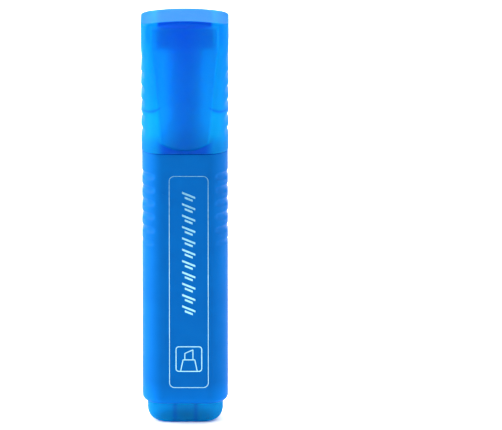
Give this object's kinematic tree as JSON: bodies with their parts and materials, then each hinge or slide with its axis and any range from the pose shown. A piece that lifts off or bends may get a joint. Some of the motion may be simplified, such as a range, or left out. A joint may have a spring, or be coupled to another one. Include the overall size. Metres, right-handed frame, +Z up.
{
  "type": "highlighter",
  "caption": "Flat-bodied chisel-tip highlighter with a translucent lift-off cap, a flared neck, side finger grooves and a pressed-in end plug.",
  "frame": {"origin": "centre of the end plug's flat foot, on the pen's long axis", "axes": "+Z up the pen from the end plug to the cap, +X to the right of the printed face, +Y from the printed face to the back"},
  "size_m": [0.026, 0.016, 0.1239],
  "materials": {
    "barrel_plastic": "satin, opaque",
    "neck_plastic": "satin gloss, opaque",
    "nib_felt": "ink-soaked pressed fibre",
    "core_fibre": "ink-soaked fibre bundle",
    "wrap_film": "clear film",
    "tube_plastic": "translucent",
    "plug_plastic": "translucent",
    "cap_plastic": "translucent, satin",
    "liner_plastic": "translucent",
    "foil": "hot-stamped silver foil"
  },
  "bodies": {
    "pen": {"barrel": "barrel_plastic", "front_section": "neck_plastic", "nib": "nib_felt", "reservoir_core": "core_fibre", "reservoir_wrap": "wrap_film", "breather_tube": "tube_plastic", "end_plug": "plug_plastic", "print_border": "foil", "print_strokes": "foil", "print_icon": "foil"},
    "cap": {"cap_shell": "cap_plastic", "cap_liner": "liner_plastic"}
  },
  "joints": [
    {"name": "cap_slide", "type": "slide", "parent": "pen", "child": "cap", "axis": [0, 0, 1], "range_m": [0, 0.04]}
  ]
}
